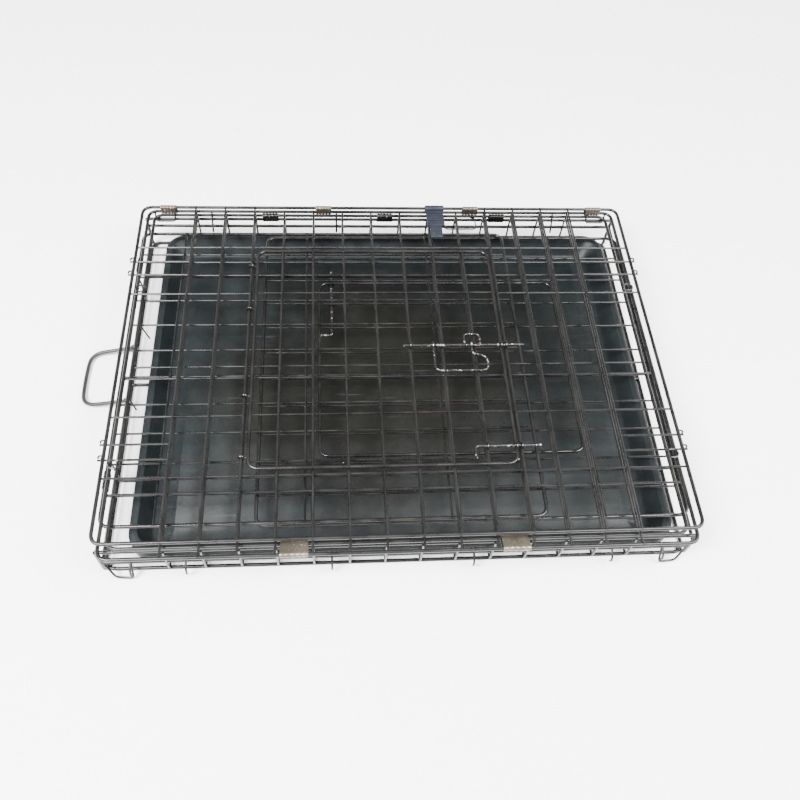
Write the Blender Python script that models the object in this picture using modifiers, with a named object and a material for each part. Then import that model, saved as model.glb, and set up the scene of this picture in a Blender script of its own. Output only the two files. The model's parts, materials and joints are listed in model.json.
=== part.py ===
"""Folding wire dog crate, folded flat with its plastic pan inside.

Metres, +Z up. The origin is the middle of the underside of the floor grid, +X runs
along the long side and +Y points to the edge where the stack is hinged. The stack is,
from the ground up: floor grid, pan, right end, left end, back, roof, front.
"""
from math import cos, pi, radians, sin

import bmesh
import bpy
from mathutils import Matrix, Vector

# Driving dimensions
LENGTH = 0.610          # outside of the frame wires, long side
DEPTH = 0.455           # outside of the frame wires, short side
PITCH = 0.0366          # spacing of the grid wires
FRAME_R = 0.0020        # frame wire radius
GRID_R = 0.0012         # grid wire radius
DOOR_R = 0.0018         # door frame wire radius
BOLT_R = 0.0015         # slide bolt rod radius
GAP = 0.0003            # clearance between touching pieces
STEP = 0.0066           # height from one folded panel to the next
WEAVE = 0.0011          # grid wires sit this far above and below their panel's middle
CORNER = 0.012          # bend radius of a panel's corners
CLIP_SHEET = 0.0006     # thickness of a hinge clip
CLIP_WIDTH = 0.020      # how far a hinge clip reaches along its wires
WIDE_CLIP_WIDTH = 0.028

# Frame wire centre lines
HALF_X = LENGTH / 2 - FRAME_R
HALF_Y = DEPTH / 2 - FRAME_R
ROOF_HALF_X = 0.2970    # the lower a lid panel lies, the narrower it is
BACK_HALF_X = 0.2910
FLOOR_Z = FRAME_R * cos(pi / 6)     # six-sided wires lie on a flat side
RIGHT_LIP_Z = 0.0324
RIGHT_END_Z = RIGHT_LIP_Z + STEP
LEFT_END_Z = RIGHT_END_Z + STEP
BACK_Z = LEFT_END_Z + STEP
ROOF_Z = BACK_Z + STEP
FRONT_Z = ROOF_Z + STEP
SIDE_LIP_Z = LEFT_END_Z     # top wire of the long lips of the floor grid
MID_LIP_Z = 0.020           # middle wire of the floor's near lip
FAR_MID_LIP_Z = 0.0335
LIP_SINK = 0.0006           # how deep two wires welded side by side sink into each other
PROUD = 0.0007              # wire ends stand this far past the wire they are welded to
RISER_BEND = 0.004          # size of the bend where a floor wire turns up into a lip
ROOF_HINGE_Y = -0.2390      # the roof's near wire stands clear of the floor's near lip
BACK_NEAR_Y = -0.2255           # over the floor's near lip
FLOOR_RUN_Y = 0.126         # the floor's two grid wires along X, one each side of its middle wire

# End panels
END_HALF_Y = 0.199
END_HEIGHT = 0.453
LEFT_END_XS = (-0.250, -0.100, 0.050)   # wires across the left end panel
END_MIDDLE_X = 0.060        # wire across the right end panel and its door
END_WIRES = [s * PITCH * (k + 0.5) for k in range(5) for s in (-1, 1)]
GRID_XS = sorted(s * PITCH * (k + 0.5) for k in range(7) for s in (-1, 1))

# Side door, on the front panel
DOOR_HINGE_X = -4.5 * PITCH
DOOR_LATCH_X = 3.5 * PITCH
DOOR_X = (DOOR_HINGE_X + 0.0070, 0.1225)
DOOR_Y = (-0.148, 0.150)
SILL_Y = -0.155
HEADER_Y = 0.158
DOOR_RAILS = (0.085, -0.083)
DOOR_Z = FRONT_Z + WEAVE
DOOR_WEAVE = 0.0010         # doors are flatter than the panels
DOOR_EYE_YS = (0.125, 0.060, -0.060, -0.135)
BACK_YS = (-0.150, -0.010, 0.125)       # wires along the back panel
ROOF_YS = (-0.170, -0.030, 0.140)       # wires along the roof panel
ROOF_HOOK_XS = (-6 * PITCH, -0.0625, 0.0625, 6 * PITCH)
STUB_YS = (0.135, 0.1145, -0.116, -0.134)   # wire ends that stand past the front panel's sides
STUB_REACH = 0.006
BOLT_Z = DOOR_Z + DOOR_WEAVE + GRID_R + GAP + BOLT_R
UPPER_BOLT_Y = 0.003
LOWER_BOLT_Y = -0.129
BOLT_TIP_X = 0.148
UPPER_TAIL_X = 0.010
LOWER_TAIL_X = 0.078
BOLT_TAIL = 0.016           # length of the bent end that a finger pulls
BOLT_BEND = 0.003
EYE_R = 0.0012              # wire radius of eyes, guides and keepers
EYE_SINK = 0.0009           # how deep a wire that ends in an eye reaches into it
LOOP_EYES = (0.044, 0.0875)     # where the pull loop hangs on the upper rod
LOOP_X = (0.044, 0.104)         # its two sides
LOOP_FAR_Y = -0.032
LOOP_BEND = 0.008
LOOP_SHOULDER_Y = -0.013        # where its right side jogs in to its eye
LOOP_JOG = 0.005

# End door, on the right end panel
END_DOOR_X = (-0.085, 0.205)
END_DOOR_HALF_Y = 0.1235
END_DOOR_HINGE_Y = -3.5 * PITCH
END_DOOR_Z = RIGHT_END_Z - WEAVE
END_WEAVE = 0.0007
END_BOLT_Z = END_DOOR_Z - END_WEAVE - GRID_R - GAP - BOLT_R
END_BOLT_X = -0.070
END_BOLT_Y = (0.046, 0.146)     # its bent end and its tip
END_EYE_XS = (-0.060, 0.020, 0.130)

# Hinge clips: where each stands along its wires
FRONT_CLIP_XS = (-0.272, -0.0785, 0.1098, 0.272)
ROOF_CLIP_XS = (-3 * PITCH, 3 * PITCH)
BACK_CLIP_XS = (-4 * PITCH, 0.0, 4 * PITCH)
END_CLIP_YS = (-4 * PITCH, 4 * PITCH)

# Travel clip
TRAVEL_X = 0.0630
TRAVEL_WIDTH = 0.024
TRAVEL_WALL = 0.0022
TONGUE_SIZE = (0.016, 0.048, 0.0028)
TONGUE_Y = HALF_Y - 0.0265      # its middle
TONGUE_DROP = 0.0008

# Pan
PAN_X = (-0.286, 0.296)
PAN_Y = (-0.2225, 0.2200)
PAN_SHEET = 0.0022
PAN_BOTTOM = 0.0058 + GAP       # underside of the tray, on top of the floor's wires
RIM_UNDERSIDE = 0.0270
RIM_WIDTH = 0.0055
PAN_CORNER = 0.022
PAN_LEAN_X = (0.012, 0.012)     # how far the walls lean in at the bottom, low and high side
PAN_LEAN_Y = (0.003, 0.012)

# Carry handle
HANDLE_Z = 0.014
HANDLE_R = 0.0022
HANDLE_YS = (-0.030, 0.045)
HANDLE_REACH = 0.054

for old in list(bpy.data.objects):
    bpy.data.objects.remove(old, do_unlink=True)

PARTS = bpy.data.collections.new("wire_dog_crate")
CUTTERS = bpy.data.collections.new("joined_wires")
for group in (PARTS, CUTTERS):
    bpy.context.scene.collection.children.link(group)


def material(name, colour, roughness, metallic):
    """A plain Principled material."""
    made = bpy.data.materials.new(name)
    made.use_nodes = True
    shader = made.node_tree.nodes["Principled BSDF"]
    shader.inputs["Base Color"].default_value = (*colour, 1.0)
    shader.inputs["Roughness"].default_value = roughness
    shader.inputs["Metallic"].default_value = metallic
    return made


BLACK_WIRE = ("black_coated_wire", (0.012, 0.012, 0.014), 0.35, 0.0)
PAN_PLASTIC = ("pan_plastic", (0.030, 0.045, 0.060), 0.55, 0.0)
CLIP_METAL = ("hinge_clip_metal", (0.36, 0.30, 0.20), 0.42, 1.0)
BOLT_METAL = ("bolt_wire", (0.05, 0.05, 0.055), 0.30, 0.0)
NAVY_PLASTIC = ("navy_plastic", (0.020, 0.026, 0.080), 0.45, 0.0)


def mesh_object(name, mesh, group=PARTS):
    """Link a mesh to the scene as an object."""
    made = bpy.data.objects.new(name, mesh)
    group.objects.link(made)
    return made


def cutter(made):
    """Mark an object as one that is only joined to, or cut from, another."""
    made.hide_render = True
    made.display_type = "WIRE"
    return made


def wires(name, runs, radius, sides=0, closed=False, group=CUTTERS):
    """Round wires along lists of points, as one mesh object with welded caps."""
    curve = bpy.data.curves.new(name, "CURVE")
    curve.dimensions = "3D"
    curve.bevel_depth = radius
    curve.bevel_resolution = sides
    curve.use_fill_caps = True
    for run in runs:
        spline = curve.splines.new("POLY")
        spline.points.add(len(run) - 1)
        spline.use_cyclic_u = closed
        for point, place in zip(spline.points, run):
            point.co = (*place, 1.0)
    drawn = bpy.data.objects.new(name + "_curve", curve)
    bpy.context.scene.collection.objects.link(drawn)
    bpy.context.view_layer.update()
    depsgraph = bpy.context.evaluated_depsgraph_get()
    mesh = bpy.data.meshes.new_from_object(drawn.evaluated_get(depsgraph))
    bpy.data.objects.remove(drawn)
    shell = bmesh.new()
    shell.from_mesh(mesh)
    bmesh.ops.remove_doubles(shell, verts=shell.verts, dist=1e-6)
    bmesh.ops.recalc_face_normals(shell, faces=shell.faces)
    shell.to_mesh(mesh)
    shell.free()
    mesh.name = name
    return mesh_object(name, mesh, group)


def join(base, *others):
    """Weld other closed shapes to a piece."""
    for other in others:
        cutter(other)
        union = base.modifiers.new("weld_" + other.name, "BOOLEAN")
        union.operation = "UNION"
        union.solver = "EXACT"
        union.object = other
    return base


def finish(made, look):
    """Give a piece its material and smooth shading."""
    name = look[0]
    found = bpy.data.materials.get(name) or material(*look)
    made.data.materials.clear()
    made.data.materials.append(found)
    made.data.shade_smooth()
    made.data.set_sharp_from_angle(angle=radians(35))
    return made


def pivot(name, place, parent=None):
    """An empty on a joint's axis."""
    empty = bpy.data.objects.new(name, None)
    PARTS.objects.link(empty)
    empty.location = Vector(place)
    if parent:
        empty.parent = parent
        empty.location = Vector(place) - parent.matrix_world.translation
    bpy.context.view_layer.update()
    return empty


def hang(made, empty):
    """Parent a piece to a pivot without moving it."""
    made.parent = empty
    made.matrix_parent_inverse = empty.matrix_world.inverted()
    return made


def rectangle(x_range, y_range, z, bend=CORNER, steps=3):
    """Points of a rectangle with bent corners."""
    points = []
    middle = ((x_range[0] + x_range[1]) / 2, (y_range[0] + y_range[1]) / 2)
    half = ((x_range[1] - x_range[0]) / 2 - bend, (y_range[1] - y_range[0]) / 2 - bend)
    for quarter, (sx, sy) in enumerate(((1, 1), (-1, 1), (-1, -1), (1, -1))):
        for step in range(steps):
            angle = (quarter + step / (steps - 1)) * pi / 2
            x = middle[0] + sx * half[0] + bend * cos(angle)
            y = middle[1] + sy * half[1] + bend * sin(angle)
            points.append((x, y, z))
    return points


def along_x(spans, z):
    """Straight runs along X: each span is (y, from x, to x)."""
    return [[(x0, y, z), (x1, y, z)] for y, x0, x1 in spans]


def along_y(spans, z):
    """Straight runs along Y: each span is (x, from y, to y)."""
    return [[(x, y0, z), (x, y1, z)] for x, y0, y1 in spans]


def panel(name, x_range, y_range, z, x_spans, y_spans, frame_r=FRAME_R, weave=WEAVE):
    """A welded wire panel: a bent frame, wires along X under it and wires along Y over it."""
    frame = wires(name, [rectangle(x_range, y_range, z)], frame_r, 1, closed=True, group=PARTS)
    lower = wires(name + "_x_wires", along_x(x_spans, z - weave), GRID_R)
    upper = wires(name + "_y_wires", along_y(y_spans, z + weave), GRID_R)
    return join(frame, lower, upper)


def ring(name, centre, axis, bore):
    """A closed eye of wire round a rod; bore is the rod's radius."""
    bpy.ops.mesh.primitive_torus_add(
        major_segments=8, minor_segments=4, location=centre,
        major_radius=bore + GAP + EYE_R, minor_radius=EYE_R,
    )
    made = bpy.context.object
    made.name = name
    turn = Vector((0, 0, 1)).rotation_difference(Vector(axis)).to_matrix().to_4x4()
    made.data.transform(turn)
    for group in list(made.users_collection):
        group.objects.unlink(made)
    CUTTERS.objects.link(made)
    return made


def clip(name, first, second, along, middle, width, bore=FRAME_R):
    """A sheet sleeve round two parallel wires; first and second are their centres."""
    first = Vector(first)
    second = Vector(second)
    reach = (second - first).length
    outline = bpy.data.curves.new(name, "CURVE")
    outline.dimensions = "2D"
    outline.fill_mode = "BOTH"
    outline.extrude = width / 2
    for radius in (bore + GAP, bore + GAP + CLIP_SHEET):
        spline = outline.splines.new("POLY")
        points = []
        for end, start_angle in ((reach, -pi / 2), (0.0, pi / 2)):
            for step in range(6):
                angle = start_angle + step * pi / 5
                points.append((end + radius * cos(angle), radius * sin(angle)))
        spline.points.add(len(points) - 1)
        for point, (u, v) in zip(spline.points, points):
            point.co = (u, v, 0.0, 1.0)
        spline.use_cyclic_u = True
    drawn = bpy.data.objects.new(name + "_outline", outline)
    bpy.context.scene.collection.objects.link(drawn)
    depsgraph = bpy.context.evaluated_depsgraph_get()
    mesh = bpy.data.meshes.new_from_object(drawn.evaluated_get(depsgraph))
    bpy.data.objects.remove(drawn)
    across = (second - first).normalized()
    run = Vector(along)
    side = run.cross(across)
    frame = Matrix((across, side, run)).transposed().to_4x4()
    frame.translation = first + run * middle
    shell = bmesh.new()
    shell.from_mesh(mesh)
    bmesh.ops.remove_doubles(shell, verts=shell.verts, dist=1e-6)
    bmesh.ops.transform(shell, matrix=frame, verts=shell.verts)
    bmesh.ops.recalc_face_normals(shell, faces=shell.faces)
    shell.to_mesh(mesh)
    shell.free()
    return mesh_object(name, mesh)


def make_floor_grid():
    """The floor: a ground frame with lips that stand up on all four sides."""
    frame = rectangle((-HALF_X, HALF_X), (-HALF_Y, HALF_Y), FLOOR_Z)
    base = wires("floor_grid", [frame], FRAME_R, 1, closed=True, group=PARTS)
    posts = [[(sx * HALF_X, sy * HALF_Y, SIDE_LIP_Z), (sx * HALF_X, sy * HALF_Y, FLOOR_Z + 0.006),
              (sx * (HALF_X - 0.004), sy * (HALF_Y - 0.004), FLOOR_Z)]
             for sx in (-1, 1) for sy in (-1, 1)]
    long_lips = [[(-HALF_X, y, z), (HALF_X, y, z)]
                 for y, z in ((-HALF_Y, MID_LIP_Z), (-HALF_Y, SIDE_LIP_Z),
                              (HALF_Y, FAR_MID_LIP_Z), (HALF_Y, SIDE_LIP_Z))]
    left_lips = [[(-HALF_X, -HALF_Y, z), (-HALF_X, HALF_Y, z)] for z in (HANDLE_Z, RIGHT_END_Z)]
    right_lips = [[(HALF_X, -HALF_Y, RIGHT_LIP_Z), (HALF_X, HALF_Y, RIGHT_LIP_Z)]]
    low_z = FLOOR_Z + 0.0002
    high_z = low_z + 2 * WEAVE
    weld = FRAME_R + GRID_R - LIP_SINK  # between the centres of two wires welded side by side
    left_x = -HALF_X + weld
    top_z = SIDE_LIP_Z + PROUD
    turn = RISER_BEND
    cross = [[(left_x, y, RIGHT_END_Z + PROUD), (left_x, y, low_z + turn), (left_x + turn, y, low_z),
              (HALF_X, y, low_z)] for y in (-FLOOR_RUN_Y, FLOOR_RUN_Y)]
    near_y = -HALF_Y - weld
    far_y = HALF_Y - weld
    rise = [[(x, near_y, top_z), (x, near_y, high_z + turn), (x, near_y + turn, high_z),
             (x, far_y - turn, high_z), (x, far_y, high_z + turn), (x, far_y, top_z)]
            for x in GRID_XS]
    skid = [[(-HALF_X, 0.0, FLOOR_Z), (HALF_X, 0.0, FLOOR_Z)]]
    hooks = [[(x, -HALF_Y, MID_LIP_Z), (x, -HALF_Y - 0.004, MID_LIP_Z - 0.004),
              (x, -HALF_Y - 0.011, 0.012), (x, -HALF_Y - 0.011, 0.007)]
             for x in (-0.2745, -6 * PITCH, -2 * PITCH, 2 * PITCH, 6 * PITCH, 0.2745)]
    join(base,
         wires("floor_posts", posts, FRAME_R, 1),
         wires("floor_long_lips", long_lips, FRAME_R, 1),
         wires("floor_left_lips", left_lips, FRAME_R, 1),
         wires("floor_right_lip", right_lips, FRAME_R, 1),
         wires("floor_skid", skid, FRAME_R, 1),
         wires("floor_x_wires", cross, GRID_R),
         wires("floor_y_wires", rise, GRID_R),
         wires("floor_hooks", hooks, GRID_R))
    return finish(base, BLACK_WIRE)


def make_pan():
    """The lift-out floor pan: a shallow moulded tray with a rolled rim."""
    shell = bmesh.new()
    bmesh.ops.create_cube(shell, size=1.0)
    inset = 2 * RIM_WIDTH
    size = Vector((PAN_X[1] - PAN_X[0] - inset, PAN_Y[1] - PAN_Y[0] - inset, RIM_UNDERSIDE - PAN_BOTTOM))
    centre = Vector((sum(PAN_X) / 2, sum(PAN_Y) / 2, (PAN_BOTTOM + RIM_UNDERSIDE) / 2))
    bmesh.ops.scale(shell, vec=size, verts=shell.verts)
    bmesh.ops.translate(shell, vec=centre, verts=shell.verts)
    upright = [e for e in shell.edges if abs(e.verts[0].co.z - e.verts[1].co.z) > 0.001]
    bmesh.ops.bevel(shell, geom=upright, offset=PAN_CORNER, segments=4, profile=0.5, affect="EDGES")
    top = [f for f in shell.faces if f.normal.z > 0.9]
    bmesh.ops.delete(shell, geom=top, context="FACES_ONLY")
    for vert in shell.verts:
        if vert.co.z < PAN_BOTTOM + 0.001:
            for axis, (low_lean, high_lean) in enumerate((PAN_LEAN_X, PAN_LEAN_Y)):
                share = (vert.co[axis] - centre[axis]) / size[axis] + 0.5
                vert.co[axis] += low_lean * (1 - share) - high_lean * share
    rim = [e for e in shell.edges if e.is_boundary]
    lip = bmesh.ops.extrude_edge_only(shell, edges=rim)["geom"]
    for vert in [g for g in lip if isinstance(g, bmesh.types.BMVert)]:
        vert.co.x += RIM_WIDTH * (1 if vert.co.x > centre.x else -1)
        vert.co.y += RIM_WIDTH * (1 if vert.co.y > centre.y else -1)
    mesh = bpy.data.meshes.new("pan")
    bmesh.ops.recalc_face_normals(shell, faces=shell.faces)
    shell.to_mesh(mesh)
    shell.free()
    pan = mesh_object("pan", mesh)
    wall = pan.modifiers.new("wall", "SOLIDIFY")
    wall.thickness = PAN_SHEET
    wall.offset = 1.0
    wall.use_even_offset = True
    return finish(pan, PAN_PLASTIC)


def make_left_end():
    """Left end panel, folded inwards."""
    x_range = (-HALF_X, -HALF_X + END_HEIGHT)
    x_spans = [(y, *x_range) for y in END_WIRES]
    y_spans = [(x, -END_HALF_Y, END_HALF_Y) for x in LEFT_END_XS]
    made = panel("left_end_panel", x_range, (-END_HALF_Y, END_HALF_Y), LEFT_END_Z, x_spans, y_spans)
    return finish(made, BLACK_WIRE)


def make_right_end():
    """Right end panel, folded inwards under the left one, with an opening for its door."""
    x_range = (HALF_X - END_HEIGHT, HALF_X)
    low = END_DOOR_X[0] - 0.008
    high = END_DOOR_X[1] + 0.008
    x_spans = []
    for y in END_WIRES:
        if abs(y) > END_DOOR_HALF_Y:
            x_spans.append((y, *x_range))
        else:
            x_spans += [(y, x_range[0], low), (y, high, x_range[1])]
    y_spans = [(x, -END_HALF_Y, END_HALF_Y) for x in (low, high)]
    y_spans += [(END_MIDDLE_X, s * END_HALF_Y, s * 3.5 * PITCH) for s in (-1, 1)]
    made = panel("right_end_panel", x_range, (-END_HALF_Y, END_HALF_Y), RIGHT_END_Z, x_spans, y_spans)
    keeper = ring("end_keeper", (END_BOLT_X, -END_DOOR_HINGE_Y, END_BOLT_Z), (0, 1, 0), BOLT_R)
    return finish(join(made, keeper), BLACK_WIRE)


def make_end_door():
    """Door in the right end panel, with eyes on the panel's wire and guides for its bolt."""
    z = END_DOOR_Z
    y_range = (-END_DOOR_HALF_Y + 0.004, END_DOOR_HALF_Y)
    x_spans = [(y, *END_DOOR_X) for y in END_WIRES if abs(y) < 0.1]
    y_spans = [(END_MIDDLE_X, *y_range)]
    made = panel("end_door", END_DOOR_X, y_range, z, x_spans, y_spans, DOOR_R, END_WEAVE)
    bars = []
    for number, x in enumerate(END_EYE_XS):
        eye = ring(f"end_door_eye_{number}", (x, END_DOOR_HINGE_Y, z), (1, 0, 0), GRID_R)
        start = END_DOOR_HINGE_Y + GRID_R + GAP + EYE_SINK
        arm = wires(f"end_door_arm_{number}", [[(x, start, z), (x, y_range[0] + 0.001, z)]], EYE_R)
        bars += [eye, arm]
    guides = [ring(f"end_guide_{number}", (END_BOLT_X, y, END_BOLT_Z), (0, 1, 0), BOLT_R)
              for number, y in enumerate((2.5 * PITCH, END_DOOR_HALF_Y))]
    return finish(join(made, *bars, *guides), BLACK_WIRE)


def make_back():
    """Back panel, the lowest of the three that lift with the lid."""
    x_range = (-BACK_HALF_X, BACK_HALF_X)
    y_range = (BACK_NEAR_Y, HALF_Y)
    x_spans = [(y, *x_range) for y in BACK_YS]
    y_spans = [(x, *y_range) for x in GRID_XS]
    return finish(panel("back_panel", x_range, y_range, BACK_Z, x_spans, y_spans), BLACK_WIRE)


def make_roof():
    """Roof panel, lying on the back panel, with four locking hooks on its free edge."""
    x_range = (-ROOF_HALF_X, ROOF_HALF_X)
    y_range = (ROOF_HINGE_Y, HALF_Y)
    x_spans = [(y, *x_range) for y in ROOF_YS]
    y_spans = [(x, *y_range) for x in GRID_XS]
    made = panel("roof_panel", x_range, y_range, ROOF_Z, x_spans, y_spans)
    hooks = [[(x, HALF_Y, ROOF_Z), (x, HALF_Y - 0.004, ROOF_Z - 0.006), (x, HALF_Y - 0.0105, ROOF_Z - 0.018),
              (x, HALF_Y - 0.0120, ROOF_Z - 0.0235)] for x in ROOF_HOOK_XS]
    return finish(join(made, wires("roof_hooks", hooks, GRID_R)), BLACK_WIRE)


def make_front():
    """Front panel, on top of the stack, open where its door hangs."""
    x_range = (-HALF_X, HALF_X)
    y_range = (-HALF_Y, HALF_Y)
    x_spans = [(SILL_Y, *x_range), (HEADER_Y, *x_range)]
    for y in DOOR_RAILS:
        x_spans += [(y, -HALF_X, DOOR_HINGE_X), (y, DOOR_LATCH_X, HALF_X)]
    y_spans = []
    for x in GRID_XS:
        if x < DOOR_HINGE_X + 0.001 or x > DOOR_LATCH_X - 0.001:
            y_spans.append((x, *y_range))
        else:
            y_spans.append((x, -HALF_Y, SILL_Y))
    made = panel("front_panel", x_range, y_range, FRONT_Z, x_spans, y_spans)
    stubs = [(y, sx * (HALF_X + STUB_REACH), sx * 6.5 * PITCH) for y in STUB_YS for sx in (-1, 1)]
    keepers = [ring(f"keeper_{number}", (DOOR_LATCH_X, y, BOLT_Z), (1, 0, 0), BOLT_R)
               for number, y in enumerate((UPPER_BOLT_Y, LOWER_BOLT_Y))]
    return finish(join(made, wires("front_stubs", along_x(stubs, FRONT_Z - WEAVE), GRID_R), *keepers),
                  BLACK_WIRE)


def make_side_door():
    """Door in the front panel: frame, rails, eyes on the hinge wire and bolt guides."""
    x_spans = [(y, *DOOR_X) for y in DOOR_RAILS]
    y_spans = [(x, *DOOR_Y) for x in GRID_XS if DOOR_X[0] + 0.01 < x < DOOR_X[1] - 0.01]
    made = panel("side_door", DOOR_X, DOOR_Y, DOOR_Z, x_spans, y_spans, DOOR_R, DOOR_WEAVE)
    extras = []
    for number, y in enumerate(DOOR_EYE_YS):
        extras.append(ring(f"side_door_eye_{number}", (DOOR_HINGE_X, y, DOOR_Z), (0, 1, 0), GRID_R))
        start = DOOR_HINGE_X + GRID_R + GAP + EYE_SINK
        arm = along_x([(y, start, DOOR_X[0] + 0.001)], DOOR_Z)
        extras.append(wires(f"side_door_arm_{number}", arm, EYE_R))
    for number, (x, y) in enumerate(((0.5 * PITCH, UPPER_BOLT_Y), (DOOR_X[1], UPPER_BOLT_Y),
                                     (2.5 * PITCH, LOWER_BOLT_Y), (DOOR_X[1], LOWER_BOLT_Y))):
        extras.append(ring(f"guide_{number}", (x, y, BOLT_Z), (1, 0, 0), BOLT_R))
    return finish(join(made, *extras), BLACK_WIRE)


def make_bolts():
    """Rods that slide in the door guides, and the pull loop on the upper one."""
    path = [(UPPER_TAIL_X, UPPER_BOLT_Y, BOLT_Z), (BOLT_TIP_X, UPPER_BOLT_Y, BOLT_Z)]
    upper = wires("upper_bolt_rod", [path], BOLT_R, 1, group=PARTS)
    path = [(LOWER_TAIL_X, LOWER_BOLT_Y - BOLT_TAIL, BOLT_Z),
            (LOWER_TAIL_X, LOWER_BOLT_Y - BOLT_BEND, BOLT_Z),
            (LOWER_TAIL_X + BOLT_BEND, LOWER_BOLT_Y, BOLT_Z), (BOLT_TIP_X, LOWER_BOLT_Y, BOLT_Z)]
    lower = wires("lower_bolt_rod", [path], BOLT_R, 1, group=PARTS)
    eye_y = UPPER_BOLT_Y - BOLT_R - GAP - EYE_SINK
    left, right = LOOP_X
    bend = LOOP_BEND
    far_y = LOOP_FAR_Y
    path = [(left, eye_y, BOLT_Z), (left, far_y + bend, BOLT_Z),
            (left + 0.3 * bend, far_y + 0.3 * bend, BOLT_Z), (left + bend, far_y, BOLT_Z),
            (right - bend, far_y, BOLT_Z), (right - 0.3 * bend, far_y + 0.3 * bend, BOLT_Z),
            (right, far_y + bend, BOLT_Z), (right, LOOP_SHOULDER_Y, BOLT_Z),
            (LOOP_EYES[1], LOOP_SHOULDER_Y + LOOP_JOG, BOLT_Z), (LOOP_EYES[1], eye_y, BOLT_Z)]
    loop = wires("upper_bolt_loop", [path], GRID_R, 1, group=PARTS)
    join(loop, *[ring(f"loop_eye_{number}", (x, UPPER_BOLT_Y, BOLT_Z), (1, 0, 0), BOLT_R)
                 for number, x in enumerate(LOOP_EYES)])
    tail_y, tip_y = END_BOLT_Y
    path = [(END_BOLT_X - BOLT_TAIL, tail_y, END_BOLT_Z), (END_BOLT_X - BOLT_BEND, tail_y, END_BOLT_Z),
            (END_BOLT_X, tail_y + BOLT_BEND, END_BOLT_Z), (END_BOLT_X, tip_y, END_BOLT_Z)]
    end_rod = wires("end_door_bolt", [path], BOLT_R, 1, group=PARTS)
    for made in (upper, lower, loop, end_rod):
        finish(made, BOLT_METAL)
    return upper, lower, loop, end_rod


def make_clips():
    """Sheet clips that hold each pair of hinge wires together."""
    made = {"front": [], "roof": [], "back": [], "left": [], "right": []}
    for number, x in enumerate(FRONT_CLIP_XS):
        made["front"].append(clip(f"front_hinge_clip_{number + 1}", (0, HALF_Y, ROOF_Z),
                                  (0, HALF_Y, FRONT_Z), (1, 0, 0), x, CLIP_WIDTH))
    for number, x in enumerate(ROOF_CLIP_XS):
        made["roof"].append(clip(f"roof_hinge_clip_{number + 1}", (0, BACK_NEAR_Y, BACK_Z),
                                 (0, ROOF_HINGE_Y, ROOF_Z), (1, 0, 0), x, WIDE_CLIP_WIDTH))
    for number, x in enumerate(BACK_CLIP_XS):
        made["back"].append(clip(f"back_hinge_clip_{number + 1}", (0, HALF_Y, SIDE_LIP_Z),
                                 (0, HALF_Y, BACK_Z), (1, 0, 0), x, CLIP_WIDTH))
    for number, y in enumerate(END_CLIP_YS):
        made["left"].append(clip(f"left_end_hinge_clip_{number + 1}", (-HALF_X, 0, RIGHT_END_Z),
                                 (-HALF_X, 0, LEFT_END_Z), (0, 1, 0), y, CLIP_WIDTH))
        made["right"].append(clip(f"right_end_hinge_clip_{number + 1}", (HALF_X, 0, RIGHT_LIP_Z),
                                  (HALF_X, 0, RIGHT_END_Z), (0, 1, 0), y, CLIP_WIDTH))
    for group in made.values():
        for piece in group:
            finish(piece, CLIP_METAL)
    return made


def make_travel_clip():
    """Moulded clip on the top rail whose tongue lies on the folded stack."""
    bpy.ops.mesh.primitive_cylinder_add(vertices=16, radius=FRAME_R + TRAVEL_WALL, depth=TRAVEL_WIDTH,
                                        location=(TRAVEL_X, HALF_Y, FRONT_Z), rotation=(0, pi / 2, 0))
    body = bpy.context.object
    body.name = "travel_clip"
    for group in list(body.users_collection):
        group.objects.unlink(body)
    PARTS.objects.link(body)
    tongue = bmesh.new()
    bmesh.ops.create_cube(tongue, size=1.0)
    bmesh.ops.scale(tongue, vec=TONGUE_SIZE, verts=tongue.verts)
    bmesh.ops.translate(tongue, vec=(TRAVEL_X, TONGUE_Y, FRONT_Z - TONGUE_DROP), verts=tongue.verts)
    mesh = bpy.data.meshes.new("travel_tongue")
    tongue.to_mesh(mesh)
    tongue.free()
    join(body, mesh_object("travel_tongue", mesh, CUTTERS))
    path = [(TRAVEL_X + side * TRAVEL_WIDTH, HALF_Y, FRONT_Z) for side in (-1, 1)]
    bore = wires("travel_bore", [path], FRAME_R + GAP, 4)
    cutter(bore)
    cut = body.modifiers.new("bore", "BOOLEAN")
    cut.operation = "DIFFERENCE"
    cut.solver = "EXACT"
    cut.object = bore
    return finish(body, NAVY_PLASTIC)


def make_handle():
    """Carry handle: a bent wire bail hung on the left lip."""
    low_z = HANDLE_R + 0.0008
    outer = -HALF_X - HANDLE_REACH
    eye_x = -HALF_X - FRAME_R - GAP - EYE_SINK
    low, high = HANDLE_YS
    bends = ((0.012, 0.0, 0.002), (0.003, 0.004, 0.0006), (0.0, 0.014, 0.0))    # inward, along and up
    path = [(eye_x, low, HANDLE_Z)]
    path += [(outer + inward, low + along, low_z + up) for inward, along, up in bends]
    path += [(outer + inward, high - along, low_z + up) for inward, along, up in reversed(bends)]
    path.append((eye_x, high, HANDLE_Z))
    bail = wires("carry_handle", [path], HANDLE_R, 1, group=PARTS)
    join(bail, *[ring(f"handle_eye_{number}", (-HALF_X, y, HANDLE_Z), (0, 1, 0), FRAME_R)
                 for number, y in enumerate(HANDLE_YS)])
    return finish(bail, BLACK_WIRE)


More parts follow.
